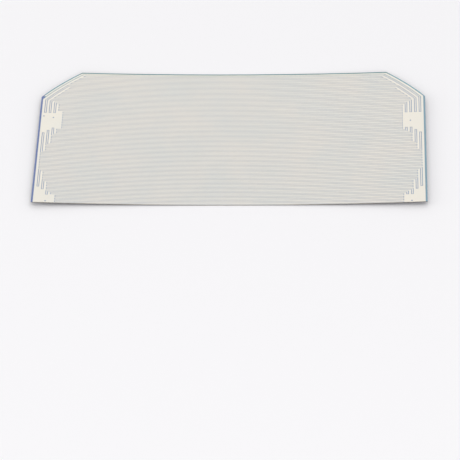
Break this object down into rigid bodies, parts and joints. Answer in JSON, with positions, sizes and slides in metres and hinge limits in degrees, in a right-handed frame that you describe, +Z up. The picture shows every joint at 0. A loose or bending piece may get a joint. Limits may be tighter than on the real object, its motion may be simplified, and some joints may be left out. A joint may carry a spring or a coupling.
{
  "type": "solar cell",
  "caption": "Half-cut solar cell: a thin bowed silicon wafer with clipped corners and, on its rear side, interleaved plated contact combs with solder pads.",
  "frame": {"origin": "under the middle of the cell, on the surface that it lies on", "axes": "+X along the fingers towards the negative contact, +Y from the cut edge to the outer edge with the clipped corners, +Z up, out of the metal side"},
  "size_m": [0.125, 0.0624, 0.0017],
  "materials": {
    "silicon": "satin",
    "tinned_copper": "satin"
  },
  "bodies": {
    "root": {"silicon_wafer": "silicon", "positive_contact": "tinned_copper", "negative_contact": "tinned_copper"}
  },
  "joints": []
}
